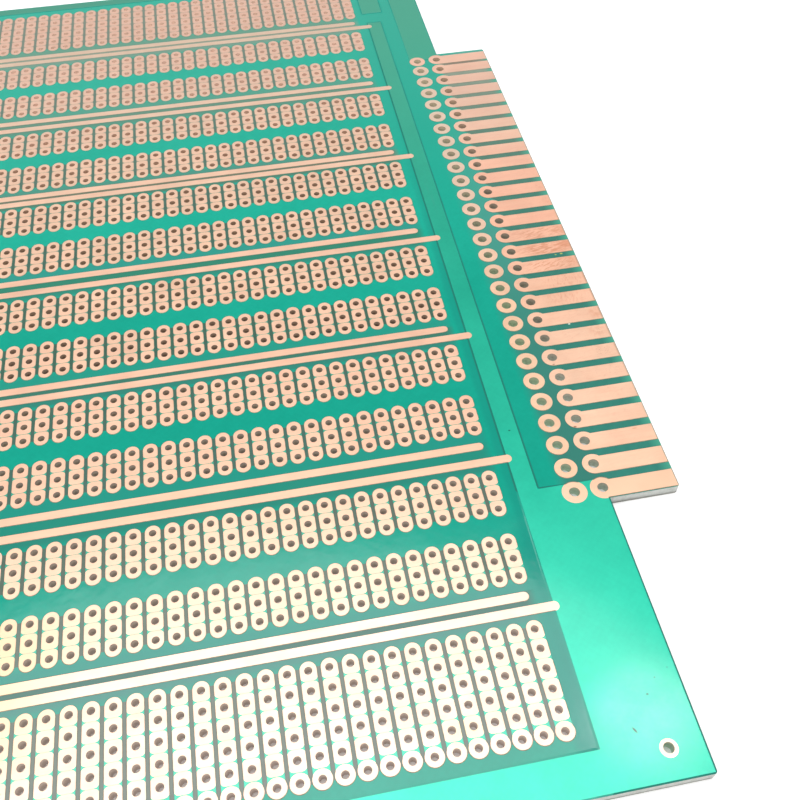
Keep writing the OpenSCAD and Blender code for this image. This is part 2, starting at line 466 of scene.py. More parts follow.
def marks(nt, base, co, items):
    """Worn or soiled places, and places of painted shade and painted highlight: (x, y, half length, half width, turn in
    degrees, grain, cut, colour, strength, softness).
    grain is a number of cells, or a tuple (length, width, turn) of streaks in millimetres and degrees."""
    for x, y, rx, ry, turn, grain, cut, colour, strength, *soft in items:
        mp = nt.nodes.new("ShaderNodeMapping")
        mp.vector_type = "TEXTURE"
        mp.inputs["Location"].default_value = (*at(x, y), 0.0016)
        mp.inputs["Rotation"].default_value = (0, 0, math.radians(turn))
        mp.inputs["Scale"].default_value = (rx / 1000, ry / 1000, 1)
        nt.links.new(co, mp.inputs["Vector"])
        ln = nt.nodes.new("ShaderNodeVectorMath")
        ln.operation = "LENGTH"
        nt.links.new(mp.outputs[0], ln.inputs[0])
        fac = ramp(nt, ln.outputs["Value"], [(0.45, gray(strength)), (1.0, gray(0))])
        if grain:
            n = N(nt, "ShaderNodeTexNoise", Scale=grain if not isinstance(grain, tuple) else 1.0, Detail=4.0, Roughness=0.65)
            if isinstance(grain, tuple):           # streaks: cells along and across, and their turn
                st = nt.nodes.new("ShaderNodeMapping")
                st.vector_type = "TEXTURE"
                st.inputs["Rotation"].default_value = (0, 0, math.radians(grain[2]))
                st.inputs["Scale"].default_value = (grain[0] / 1000, grain[1] / 1000, 1)
                nt.links.new(co, st.inputs["Vector"])
                nt.links.new(st.outputs[0], n.inputs["Vector"])
            else:
                nt.links.new(mp.outputs[0], n.inputs["Vector"])
            fac = mix(nt, 1.0, fac, ramp(nt, n.outputs["Fac"], [(cut, gray(0)), (min(1.0, cut + (soft[0] if soft else 0.10)), gray(1))]), "MULTIPLY")
        base = mix(nt, fac, base, colour)
    return base


def along(nt, co, axis, stops):
    """Colour that changes along an axis of the board. stops: (layout position in mm, colour)."""
    sep = nt.nodes.new("ShaderNodeSeparateXYZ")
    nt.links.new(co, sep.inputs[0])
    mid = MIDX if axis == 0 else MIDY
    f = math_node(nt, "MULTIPLY_ADD", sep.outputs[axis], 5.0, 0.5)
    return ramp(nt, f, [((p - mid) / 1000 * 5.0 + 0.5, c) for p, c in stops])


def mask_material(name, dark, light, metal, rough, coat_rough, items=(), tint=None, over=None, body=None, spec=0.5, dim=None, near=None):
    """tint multiplies the colour along an axis, over lays a colour on it, body replaces it, and dim
    multiplies it along one axis where its second ramp, along the other axis, is white. near is a ramp
    along y, one along x and one of tones: where the first two are white, the tones replace the colour."""
    m, nt, bsdf, co = material(name)
    blotch = noise(nt, co, 45, 4, 0.6)
    fine = noise(nt, co, 900, 3, 0.6, offset=3)
    w = weave(nt, co)
    base = ramp(nt, blotch, [(0.30, dark), (0.70, light)])
    base = mix(nt, 0.03, base, ramp(nt, w, [(0.2, tuple(0.6 * v for v in dark)), (0.8, tuple(min(1, 1.2 * v) for v in light))]))
    base = mix(nt, 0.08, base, ramp(nt, fine, [(0.35, tuple(0.7 * v for v in dark)), (0.65, tuple(min(1, 1.25 * v) for v in light))]))
    if body:
        base = mix(nt, 1.0, along(nt, co, *body), ramp(nt, fine, [(0.3, gray(0.88)), (0.7, gray(1.0))]), "MULTIPLY")
    if over:
        base = mix(nt, along(nt, co, *over[0]), base, over[1])
    if tint:
        base = mix(nt, 1.0, base, along(nt, co, *tint), "MULTIPLY")
    if dim:
        base = mix(nt, along(nt, co, *dim[1]), base, mix(nt, 1.0, base, along(nt, co, *dim[0]), "MULTIPLY"))
    if near:
        tone = along(nt, co, 1, near[2])
        tone.node.color_ramp.interpolation = "CONSTANT"
        base = mix(nt, mix(nt, 1.0, along(nt, co, 1, near[0]), along(nt, co, 0, near[1]), "MULTIPLY"), base, tone)
    base = marks(nt, base, co, items)
    nt.links.new(base, bsdf.inputs["Base Color"])
    bsdf.inputs["Metallic"].default_value = metal
    r = ramp(nt, noise(nt, co, 160, 4, 0.6, offset=7), [(0.3, gray(rough - 0.03)), (0.7, gray(rough + 0.05))])
    nt.links.new(r, bsdf.inputs["Roughness"])
    bsdf.inputs["IOR"].default_value = 1.52
    bsdf.inputs["Specular IOR Level"].default_value = spec
    bsdf.inputs["Coat Weight"].default_value = 0.65 if metal else 0.0
    bsdf.inputs["Coat Roughness"].default_value = coat_rough
    bump(nt, bsdf, math_node(nt, "ADD", noise(nt, co, 700, 2, 0.5, offset=1), math_node(nt, "MULTIPLY", w, 0.05)), 0.22, 0.00004)
    return m


DARK = (0.0, 0.09, 0.06)
ON_GLASS = [(22.9, 76.7, 0.30, 0.22, 0, 0, 0, (0.36, 0.40, 0.10), 0.9), (21.9, 76.6, 0.22, 0.16, 0, 0, 0, (0.36, 0.40, 0.10), 0.8),
            (19.4, 60.95, 0.24, 0.14, 0, 0, 0, (0.85, 0.85, 0.78), 0.9), (19.5, 136.1, 6.0, 0.55, 0, 0, 0, (0.17, 0.12, 0.085), 0.75)]
# ON_FIELD: the two long darker bands between the first column of pads and the bus are painted shade
ON_FIELD = [(15.2, 154, 0.3, 2.4, 0, 2.5, 0.42, (0.14, 0.10, 0.04), 0.8), (2.7, 55, 1.1, 70, 0, 0, 0, (0.006, 0.205, 0.158), 0.45),
            (1.9, 6, 1.7, 26, 0, 0, 0, (0.006, 0.200, 0.160), 0.6),
            (9, 138, 12, 54, 0, 0, 0, (0.006, 0.285, 0.205), 0.85)]
# ON_CU: small dark marks and a grainy streak along the bus; the lighter blotch at (10, 1) is a painted highlight of the
# lamp's glare
ON_CU = [(10.67, 2.33, 0.22, 0.17, 0, 0, 0, DARK, 0.85), (12.2, 4.1, 0.17, 0.14, 0, 0, 0, DARK, 0.6), (14.1, 5.0, 0.16, 0.14, 0, 0, 0, DARK, 0.35),
         (4.8, 42.6, 0.22, 0.17, 0, 0, 0, DARK, 0.8), (7.8, -1.4, 0.52, 0.16, -62, 0, 0, (0.0, 0.01, 0.005), 1.0),
         (10.0, 1.0, 7.5, 6.5, 20, 1.2, 0.40, (0.16, 0.66, 0.52), 0.30, 0.3), (4.6, 96, 0.5, 9, 0, 2.2, 0.5, (0.05, 0.40, 0.30), 0.35)]
# the mask beside the rails gets painted shade, greyer towards the back: before a pair, between its two rails, and after
# it
RAIL_TONES = [((0.045, 0.203, 0.167), (0.035, 0.119, 0.095), (0.014, 0.221, 0.174)), ((0.020, 0.188, 0.143), (0.016, 0.203, 0.151), (0.0145, 0.231, 0.177)),
              ((0.028, 0.174, 0.136), (0.040, 0.146, 0.107), (0.016, 0.240, 0.180)), ((0.025, 0.185, 0.136), (0.027, 0.174, 0.115), (0.023, 0.236, 0.190)),
              ((0.058, 0.154, 0.106), (0.130, 0.140, 0.095), (0.053, 0.217, 0.165)), ((0.072, 0.200, 0.144), (0.098, 0.197, 0.141), (0.060, 0.247, 0.180)),
              ((0.123, 0.229, 0.174), (0.200, 0.240, 0.180), (0.090, 0.230, 0.164))]
BY_RAILS, TONES = [], []
for k, trio in enumerate(RAIL_TONES):
    y0, y1 = BLOCKS[2 * k][0] + (BLOCKS[2 * k][1] - 1) * PITCH, BLOCKS[2 * k + 1][0]
    BY_RAILS += [(y0 + 0.35, gray(0)), (y0 + 1.0, gray(0.95)), (y1 - 1.0, gray(0.95)), (y1 - 0.35, gray(0))]
    TONES += list(zip((y0 + 0.2, G_RAILS[k], S_RAILS[k]), trio))
# The brightness ramps along the board given as tint and dim are painted light and shade
MASK_GLASS = mask_material("mask_on_glass", (0.0034, 0.296, 0.210), (0.0068, 0.334, 0.240), 0.0, 0.10, 0.2, ON_FIELD,
                           (1, [(-8, gray(0.885)), (60, gray(0.885)), (75, gray(0.92)), (97, gray(1.0)), (120, gray(0.99)), (150, gray(0.97))]),
                           ((0, [(9.0, gray(0)), (10.4, gray(1))]), (0.046, 0.240, 0.190)),
                           dim=((1, [(30, gray(0.78)), (60, gray(0.86)), (80, gray(1.05)), (140, gray(1.25))]), (0, [(9.0, gray(0)), (10.4, gray(1))])),
                           near=(BY_RAILS, [(X_LAST - 3.3, gray(0)), (X_LAST - 2.9, gray(1)), (0.4, gray(1)), (1.5, gray(0))], TONES))
# Its dark colour is partly the thinner film between the fingers and partly painted shade; its colour along the board,
# lighter and greyer towards the back, is painted light
MASK_TAB = mask_material("mask_between_contacts", (0.020, 0.17, 0.13), (0.030, 0.19, 0.15), 0.0, 0.12, 0.2, ON_GLASS, None,
                         ((0, [(23.9, gray(0)), (24.5, gray(1))]), (0.055, 0.285, 0.200)),
                         (1, [(30, (0.030, 0.188, 0.148)), (76, (0.034, 0.168, 0.130)), (90, (0.046, 0.170, 0.128)), (112, (0.085, 0.178, 0.132)),
                              (124, (0.135, 0.205, 0.155)), (132, (0.20, 0.25, 0.19)), (138, (0.20, 0.25, 0.19))]))
# The dark film between the strips is partly painted shade; its colour along the board, greyer near the front and the
# back, is painted light too
MASK_GAP = mask_material("mask_between_strips", (0.05, 0.12, 0.09), (0.07, 0.14, 0.11), 0.0, 0.12, 0.2, (), None, None,
                         (1, [(0, (0.140, 0.170, 0.145)), (14, (0.120, 0.150, 0.120)), (22, (0.092, 0.132, 0.100)), (32, (0.098, 0.138, 0.110)),
                              (46, (0.062, 0.134, 0.108)), (68, (0.050, 0.115, 0.084)), (100, (0.054, 0.124, 0.096)), (122, (0.082, 0.158, 0.122)),
                              (146, (0.115, 0.172, 0.135)), (170, (0.150, 0.190, 0.150))]))
# Its tint ramp darkens it towards the back: painted shade
MASK_WEB = mask_material("mask_over_strips", (0.030, 0.44, 0.30), (0.050, 0.50, 0.34), 0.5, 0.36, 0.15, (),
                         (1, [(-8, gray(1.0)), (25, gray(0.88)), (46, gray(0.84)), (75, gray(0.68)), (105, gray(0.62)), (160, gray(0.60))]),
                         ((1, [(60, gray(0)), (110, gray(0.60)), (150, gray(0.85))]), (0.78, 0.58, 0.44)))
# Its tint ramp, darker towards the back, is painted shade
MASK_CU = mask_material("mask_on_copper", (0.008, 0.500, 0.335), (0.020, 0.570, 0.380), 0.6, 0.38, 0.11, ON_CU,
                        (1, [(-8, gray(0.98)), (14, gray(0.96)), (24, gray(0.92)), (60, gray(0.94)), (84, gray(0.90)), (108, gray(0.865)),
                             (144, gray(0.79)), (166, gray(0.75)), (174, gray(0.64))]),
                        ((1, [(84, gray(0)), (150, gray(1))]), (0.060, 0.560, 0.370)))
# The darker film along the foil's step, and the darker band at the bus's left edge, are partly the thicker film there
# and partly painted shade; its tint ramp along the board is painted light and shade
MASK_EDGE = mask_material("mask_at_foil_edge", (0.004, 0.170, 0.128), (0.006, 0.200, 0.152), 0.0, 0.55, 0.2, spec=0.2,
                          items=[(3.1, 80, 0.7, 120, 0, 0, 0, (0.004, 0.135, 0.10), 0.7)],
                          tint=(1, [(10, gray(0.80)), (60, gray(0.85)), (100, gray(1.0)), (150, gray(1.25))]))


def copper_material(name, tones, items=()):
    """tones: colours along the board, partly uneven tarnish and partly painted light: lighter where the lamps glare
    near the front, darker towards the back.
    """
    m, nt, bsdf, co = material(name)
    base = along(nt, co, 1, tones)
    tone = noise(nt, co, 180, 4, 0.6, offset=2)
    base = mix(nt, 1.0, base, ramp(nt, tone, [(0.25, (0.96, 0.92, 0.90)), (0.5, (1, 1, 1)), (0.75, (1.0, 1.0, 1.0))]), "MULTIPLY")
    patch = noise(nt, co, 420, 5, 0.65, offset=5)
    base = mix(nt, ramp(nt, patch, [(0.52, gray(0)), (0.74, gray(0.14))]), base, (0.86, 0.46, 0.32))
    lines = noise(nt, co, 1500, 3, 0.7, stretch=(0.06, 1.0, 1.0), offset=9)
    base = mix(nt, 0.14, base, ramp(nt, lines, [(0.3, (0.78, 0.42, 0.29)), (0.7, (1.0, 0.76, 0.58))]))
    base = marks(nt, base, co, items)
    nt.links.new(base, bsdf.inputs["Base Color"])
    bsdf.inputs["Metallic"].default_value = 0.55
    r = ramp(nt, noise(nt, co, 260, 4, 0.6, offset=4), [(0.3, gray(0.36)), (0.7, gray(0.48))])
    nt.links.new(r, bsdf.inputs["Roughness"])
    bump(nt, bsdf, math_node(nt, "ADD", math_node(nt, "MULTIPLY", lines, 0.5), noise(nt, co, 2500, 2, 0.5)), 0.25, 0.00002)
    return m


RUST, SPOT, STREAK = (0.80, 0.35, 0.21), (0.42, 0.12, 0.07), (0.74, 0.30, 0.17)
Y_ = RINGS_Y
ON_TAB = [
    (20.5, 86, 9, 75, 0, (1.1, 0.30, 14), 0.52, (0.84, 0.40, 0.25), 0.30, 0.16), (21, 70, 8, 40, 0, (0.5, 0.5, 0), 0.60, SPOT, 0.22, 0.10),
    (24.94, (Y_[5] + Y_[13]) / 2, 0.16, 26, 0, 0, 0, (0.55, 0.29, 0.21), 0.55),
    (24.2, Y_[8] - 0.2, 1.3, 1.6, 0, 1.6, 0.38, STREAK, 0.50, 0.25), (22.6, Y_[8] - 0.4, 1.6, 1.0, 0, 7, 0.60, SPOT, 0.4),
    (23.2, Y_[7] - 0.2, 1.9, 1.6, 0, 1.8, 0.42, RUST, 0.40, 0.2), (23.2, Y_[7] - 0.2, 1.8, 1.2, 0, 8, 0.58, SPOT, 0.6),
    (22.9, Y_[6] - 0.2, 1.6, 1.2, 0, 7, 0.54, SPOT, 0.55), (23.0, Y_[5] - 0.2, 1.9, 1.2, 0, 9, 0.58, SPOT, 0.6),
    (22.0, Y_[4] - 0.1, 2.2, 1.2, 12, 3, 0.50, STREAK, 0.30, 0.2), (22.5, Y_[2] + 0.75, 0.5, 0.14, 0, 0, 0, STREAK, 0.6),
    (21.6, Y_[3], 2.4, 1.2, 0, 9, 0.64, SPOT, 0.4), (21.9, Y_[2], 2.2, 1.1, 0, 9, 0.63, SPOT, 0.45), (21.6, Y_[1], 2.4, 1.1, 0, 9, 0.64, SPOT, 0.35),
    (20.6, Y_[13] - 0.2, 5.8, 2.0, 0, (1.6, 0.32, 16), 0.46, STREAK, 0.65, 0.12), (24.2, Y_[13] - 0.2, 1.3, 1.8, 0, (0.6, 0.3, 0), 0.36, STREAK, 0.50, 0.2),
    (20.8, Y_[12] - 0.2, 6.0, 2.1, 0, (1.8, 0.34, 10), 0.44, STREAK, 0.80, 0.12), (24.2, Y_[12] + 0.3, 1.5, 1.5, 0, (0.8, 0.4, 0), 0.30, STREAK, 0.65, 0.2),
    (20.6, Y_[11] - 0.2, 5.6, 1.9, 0, (1.3, 0.26, 28), 0.48, STREAK, 0.75, 0.11), (24.0, Y_[11], 1.3, 1.5, 0, (0.6, 0.3, 20), 0.40, STREAK, 0.45, 0.2),
    (21.4, Y_[10] - 0.2, 4.4, 1.8, 0, (1.0, 0.4, 78), 0.49, RUST, 0.60, 0.14), (20.6, Y_[9] - 0.2, 4.4, 1.8, 0, (1.0, 0.4, 84), 0.49, RUST, 0.50, 0.14),
    (24.2, Y_[16] - 0.3, 1.0, 1.4, 0, 1.8, 0.42, RUST, 0.35, 0.2), (24.3, Y_[15] - 0.3, 1.0, 1.4, 0, 1.8, 0.42, RUST, 0.3, 0.2),
    (14.2, Y_[3] - 1.36, 0.32, 0.17, 0, 0, 0, (0.30, 0.12, 0.07), 0.9), (14.6, Y_[6] - 1.42, 0.26, 0.13, 0, 0, 0, (0.34, 0.15, 0.09), 0.8)]
ON_PADS = [(-11.4, 1.8, 2.7, 2.5, 0, 0, 0, (0.98, 0.80, 0.45), 0.55), (-64, 38, 8, 3, 0, 2.4, 0.45, (0.93, 0.66, 0.32), 0.45),
           (-74, 18, 22, 16, 0, 0, 0, (0.93, 0.62, 0.38), 0.85), (-30, 66, 16, 5, 0, 4.0, 0.55, (0.86, 0.46, 0.30), 0.15),
           (-18, 118, 22, 8, 0, 4.0, 0.55, (0.86, 0.48, 0.34), 0.15)]
ON_RAILS = [(-76, 17, 22, 11, 0, 0, 0, (0.95, 0.66, 0.40), 0.95), (18, 31, 14, 6, 0, 0, 0, (0.91, 0.555, 0.37), 0.9),
            (18, 138.5, 14, 5, 0, 0, 0, (0.94, 0.57, 0.43), 0.9)]
# The tones along the board below carry painted light and shade: lighter near the front, darker towards the back
COPPER = copper_material("bare_copper", [(-5, (0.95, 0.70, 0.56)), (22, (0.95, 0.665, 0.50)), (34, (0.92, 0.59, 0.42)), (46, (0.91, 0.545, 0.38)),
                                         (60, (0.93, 0.58, 0.41)), (80, (0.93, 0.60, 0.42)), (110, (0.90, 0.60, 0.435)), (136, (0.82, 0.555, 0.425)),
                                         (160, (0.78, 0.505, 0.395))], ON_PADS)
COPPER_RAIL = copper_material("rail_copper", [(0, (0.97, 0.76, 0.62)), (19, (0.96, 0.73, 0.58)), (38, (0.91, 0.53, 0.365)), (90, (0.94, 0.585, 0.42)),
                                              (107, (0.94, 0.61, 0.445)), (130, (0.86, 0.59, 0.445)), (153, (0.74, 0.55, 0.42))], ON_RAILS)
COPPER_TAB = copper_material("contact_copper", [(31, (0.93, 0.56, 0.375)), (44, (0.95, 0.595, 0.415)), (58, (0.95, 0.60, 0.42)), (68, (0.96, 0.56, 0.385)),
                                                (76, (0.96, 0.545, 0.375)), (86, (1.0, 0.54, 0.375)), (100, (0.98, 0.53, 0.375)),
                                                (110, (0.94, 0.59, 0.435)), (126, (0.84, 0.545, 0.42)), (140, (0.94, 0.56, 0.415))], ON_TAB)

COPPER_RING = copper_material("ring_copper", [(31, (0.90, 0.54, 0.345)), (47, (0.90, 0.575, 0.38)), (67, (0.95, 0.615, 0.405)), (87, (0.89, 0.60, 0.445)),
                                              (111, (0.80, 0.625, 0.485)), (140, (0.80, 0.60, 0.46))], [])


def glass_material(name, dark, light, rough, w_amount, spots=0.0, tint=None, glow=None, depth=None):
    """tint multiplies the colour along an axis, depth multiplies it by height in millimetres, and glow is painted
    light: an emission that stands for the light coming through the translucent sheet."""
    m, nt, bsdf, co = material(name)
    base = ramp(nt, noise(nt, co, 120, 4, 0.6), [(0.3, dark), (0.7, light)])
    w = weave(nt, co)
    base = mix(nt, w_amount, base, ramp(nt, w, [(0.25, tuple(0.62 * v for v in dark)), (0.75, tuple(min(1, 1.15 * v) for v in light))]))
    if spots:
        base = mix(nt, ramp(nt, noise(nt, co, 2600, 4, 0.7), [(0.55, gray(0)), (0.7, gray(spots))]), base, tuple(0.45 * v for v in dark))
    if tint:
        base = mix(nt, 1.0, base, along(nt, co, *tint), "MULTIPLY")
    if depth:
        sep = nt.nodes.new("ShaderNodeSeparateXYZ")
        nt.links.new(co, sep.inputs[0])
        shade = ramp(nt, math_node(nt, "MULTIPLY", sep.outputs[2], 1000 / BOARD_T), [(z / BOARD_T, c) for z, c in depth])
        base = mix(nt, 1.0, base, shade, "MULTIPLY")
    # Painted light: the surface glows by emission, standing for light through the translucent sheet
    if glow:
        painted_glow = along(nt, co, *glow)
        if depth:
            painted_glow = mix(nt, 1.0, painted_glow, shade, "MULTIPLY")
        nt.links.new(painted_glow, bsdf.inputs["Emission Color"])
        bsdf.inputs["Emission Strength"].default_value = 1.0
    nt.links.new(base, bsdf.inputs["Base Color"])
    nt.links.new(ramp(nt, noise(nt, co, 900, 3, 0.6, offset=6), [(0.3, gray(rough - 0.08)), (0.7, gray(rough + 0.08))]), bsdf.inputs["Roughness"])
    bsdf.inputs["IOR"].default_value = 1.5
    bump(nt, bsdf, math_node(nt, "ADD", noise(nt, co, 3000, 3, 0.6), math_node(nt, "MULTIPLY", w, w_amount)), 0.35, 0.00005)
    return m


def edge_material():
    """Routed edge of the sheet: pale, with the layers of cloth as faint lines along it."""
    m, nt, bsdf, co = material("laminate_edge")
    sep = nt.nodes.new("ShaderNodeSeparateXYZ")
    nt.links.new(co, sep.inputs[0])
    wob = math_node(nt, "MULTIPLY", noise(nt, co, 300, 2, 0.5), 0.00012)
    ply = math_node(nt, "SINE", math_node(nt, "MULTIPLY", math_node(nt, "ADD", sep.outputs[2], wob), 2 * math.pi / 0.0002))
    base = ramp(nt, math_node(nt, "MULTIPLY_ADD", ply, 0.5, 0.5), [(0.2, (0.34, 0.355, 0.335)), (0.8, (0.455, 0.465, 0.435))])
    base = mix(nt, ramp(nt, noise(nt, co, 1800, 4, 0.7, stretch=(1, 1, 0.3)), [(0.45, gray(0)), (0.7, gray(0.55))]), base, (0.25, 0.26, 0.23))
    # Painted shade: the edge darkens towards its bottom
    low = ramp(nt, math_node(nt, "MULTIPLY", sep.outputs[2], 1 / 0.0016), [(0.05, gray(0.75)), (0.20, gray(0.45)), (0.34, gray(0))])
    base = mix(nt, low, base, (0.15, 0.145, 0.12))
    nt.links.new(base, bsdf.inputs["Base Color"])
    bsdf.inputs["Roughness"].default_value = 0.75
    bump(nt, bsdf, noise(nt, co, 2500, 4, 0.7, stretch=(1, 1, 0.3)), 0.6, 0.00008)
    return m


# Its dark brown is darker than the bare sheet is: painted shade of the thin slits between foil and film, where it shows
GLASS = glass_material("laminate_face", (0.17, 0.155, 0.095), (0.24, 0.215, 0.14), 0.45, 0.35)
# Painted light and shade in the drilled walls: DEEP and the depth ramps darken the top of a wall and lighten its
# bottom, and the tint ramps along the board follow how the light falls
DEEP = [(0.4, gray(1.30)), (0.7, gray(1.05)), (1.0, (0.82, 0.79, 0.77)), (1.6, (0.62, 0.53, 0.49))]
DRILLED = glass_material("drilled_wall", (0.36, 0.285, 0.225), (0.43, 0.34, 0.27), 0.8, 0.1, 0.3,
                         (1, [(-5, gray(0.90)), (10, gray(0.82)), (30, gray(0.62)), (50, gray(0.50)), (66, (0.46, 0.38, 0.33)), (90, (0.48, 0.36, 0.25)),
                              (100, (0.50, 0.37, 0.27)), (122, (0.90, 0.62, 0.48)), (136, (1.25, 0.92, 0.82)), (146, (1.42, 1.12, 1.05)), (160, (1.48, 1.2, 1.1))]),
                         (1, [(-5, (0.160, 0.132, 0.125)), (20, (0.122, 0.104, 0.090)), (45, (0.062, 0.054, 0.042)), (56, (0.058, 0.050, 0.032)),
                              (67, (0.015, 0.010, 0.006)), (160, (0.02, 0.016, 0.012))]),
                         [(0.9, gray(1.06)), (1.2, gray(1.0)), (1.45, gray(0.80)), (1.6, gray(0.68))])
DRILLED_WIDE = glass_material("drilled_wall_wide", (0.23, 0.245, 0.17), (0.29, 0.31, 0.215), 0.8, 0.1, 0.3,
                              (1, [(31, (1.1, 1.3, 1.3)), (67, (1.05, 1.25, 1.1)), (87, (1.0, 0.97, 0.94)), (111, (1.6, 1.35, 1.35)), (140, (1.7, 1.4, 1.4))]),
                              (1, [(30, (0.062, 0.088, 0.074)), (67, (0.048, 0.062, 0.044)), (90, (0.044, 0.044, 0.034)), (140, (0.04, 0.035, 0.028))]), DEEP)
DRILLED_HEAD = glass_material("drilled_wall_heads", (0.23, 0.235, 0.17), (0.29, 0.295, 0.215), 0.8, 0.1, 0.3,
                              (1, [(31, (1.1, 1.2, 1.30)), (50, (1.25, 1.25, 1.4)), (66, (0.94, 0.86, 0.88)), (95, (0.85, 0.72, 0.73)), (120, (1.45, 1.02, 0.94)), (140, (1.55, 1.12, 1.04))]),
                              (1, [(30, (0.066, 0.082, 0.072)), (50, (0.078, 0.084, 0.074)), (66, (0.034, 0.032, 0.026)), (140, (0.04, 0.028, 0.022))]), DEEP)
UNDER = glass_material("laminate_underside", (0.52, 0.55, 0.36), (0.62, 0.64, 0.44), 0.35, 0.45)
EDGE = edge_material()

# ---------------------------------------------------------------- laminate
SEG = 24
holes = [arc(-c * PITCH, y, HOLE_R, SEG) for c in range(COLS) for y in ROWS]
wires = [arc(x, y, WIRE_R, 32) for x in (RING_X, HEAD_X) for y in RINGS_Y]
corner_loops = [arc(x, y, CORNER_R, 28) for x, y in CORNERS]


def outline_loop():
    body = rounded(X_LEFT, X_RIGHT, Y_FRONT, Y_BACK, 0.4)
    k = int(np.argmax(body[:, 1] > 80))          # first point of the far right corner
    tab = np.vstack([[X_RIGHT, TAB_Y0], arc(X_TAB - 0.4, TAB_Y0 + 0.4, 0.4, 5, -90, 0),
                     arc(X_TAB - 0.4, TAB_Y1 - 0.4, 0.4, 5, 0, 90), [X_RIGHT, TAB_Y1]])
    return np.vstack([body[:k], tab, body[k:]])


OUTLINE = outline_loop()


def in_any_hole(x, y):
    out = in_grid_hole(x, y)
    for cx in (RING_X, HEAD_X):
        for cy in RINGS_Y:
            out |= in_disc(x, y, cx, cy, WIRE_R)
    for cx, cy in CORNERS:
        out |= in_disc(x, y, cx, cy, CORNER_R)
    return out


def on_outline(x, y):
    """Is a wall's middle on the sheet's outer edge?"""
    return ~(in_outline(x + 0.02, y) & in_outline(x - 0.02, y) & in_outline(x, y + 0.02) & in_outline(x, y - 0.02))


s = slab([OUTLINE] + holes + wires + corner_loops,
         lambda x, y: in_outline(x, y) & ~in_any_hole(x, y),
         lambda x, y: BOARD_T, lambda x, y: 0.0,
         wall_mat=lambda x, y: np.where(on_outline(x, y), 2, np.where(in_grid_hole(x, y, HOLE_R + 0.1), 1, np.where(x > HEAD_X - 1, 5, 4))), bottom_mat=3)
to_object("glass_epoxy_sheet", [slab_part(s)], [GLASS, DRILLED, EDGE, UNDER, DRILLED_WIDE, DRILLED_HEAD], "laminate")

# ---------------------------------------------------------------- solder mask film
opened = []
for b, (y0, rows) in enumerate(BLOCKS):
    for r in range(rows):
        lp = open_of(b, r)
        for c in range(COLS):
            opened.append(lp + [-c * PITCH, y0 + r * PITCH])
for x0, x1, y in G_OPEN + S_OPEN:
    opened.append(stadium_x(x0, x1, y, RAIL_W + 2 * GAP))
for n, y in enumerate(RINGS_Y):
    (rx, ry, rr), (hx, hy, hr) = (RING_HOLE, HEAD_HOLE) if n else (WIDE_HOLE, WIDE_HOLE)
    opened.append(arc(RING_X + rx, y + ry, rr, 40))
    opened.append(arc(HEAD_X + hx, y + hy, hr, 40))
    opened.append(rect(HEAD_X, X_TAB + 0.5, y - F_LOW - GAP, y + F_HIGH + GAP))
for x, y in CORNERS:
    opened.append(arc(x, y, 1.1, 32))
loops = [OUTLINE] + [lp + [0, MASK_DY] for lp in opened]
for y in RINGS_Y:                         # where the film climbs over the edge of a ring or a head
    for r in (RING_R, RING_R + 0.04):
        loops += [arc(RING_X, y, r, 40), arc(HEAD_X, y, r, 40)]
for y0, rows in BLOCKS:
    for r in range(rows - 1):
        my = y0 + (r + 0.5) * PITCH
        for c in range(COLS):
            for sx in (-1, 1):
                for w in (STRIP_W / 2, STRIP_W / 2 + 0.04):
                    loops.append(np.array([(-c * PITCH + sx * w, my - 0.70), (-c * PITCH + sx * w, my + 0.70)]))
        if r == 0:
            for c in range(COLS - 1):
                loops.append(rect(-(c + 1) * PITCH + 0.98, -c * PITCH - 0.98, y0 - 0.35, y0 + (rows - 1) * PITCH + 0.35))
SLOPE = 0.28
for r in G_RECTS + S_RECTS:
    loops.append(rect(*r))
    loops.append(rect(r[0] - SLOPE, r[1] + SLOPE, r[2] - SLOPE, r[3] + SLOPE))
E_ = 1e-4


def mask_top(x, y):
    return np.where(in_copper(x, y, E_), Z_HI, Z_LO)


def mask_bottom(x, y):
    return np.where(in_copper(x, y, E_), Z_CU, BOARD_T)


def mask_mats(x, y, t, co):
    z = co[t][:, :, 2]
    # Slope faces and a band left of the bus take the darker edge film: painted shade at the foil's step
    slope = (z.max(1) - z.min(1)) > 0.005
    slope |= in_rect(x, y, BUS0 - SLOPE, BUS0, 27, 154.9) & ~in_copper(x, y)
    slope &= (y > 27) | (x > 5)
    tab = (x > 16.4) & (y > TAB_Y0) & (y < RINGS_Y[-1] + F_HIGH)
    over_foil = np.where(in_strips(x, y), 5, 1)
    return np.where(in_copper(x, y), over_foil, np.where(tab, 3, np.where(in_gaps(x, y), 4, np.where(slope, 2, 0))))


s = slab(loops, lambda x, y: in_outline(x, y) & ~in_openings(x, y), mask_top, mask_bottom, top_mat=mask_mats,
         wall_mat=lambda x, y: np.where(in_copper(x, y), 5, np.where(x > 16.4, 3, 4)))
to_object("solder_mask_film", [slab_part(s)], [MASK_GLASS, MASK_CU, MASK_EDGE, MASK_TAB, MASK_GAP, MASK_WEB], "solder_mask")


# ---------------------------------------------------------------- copper
def foil(loops, keep):
    return slab_part(slab(loops, keep, lambda x, y: Z_CU, lambda x, y: BOARD_T))


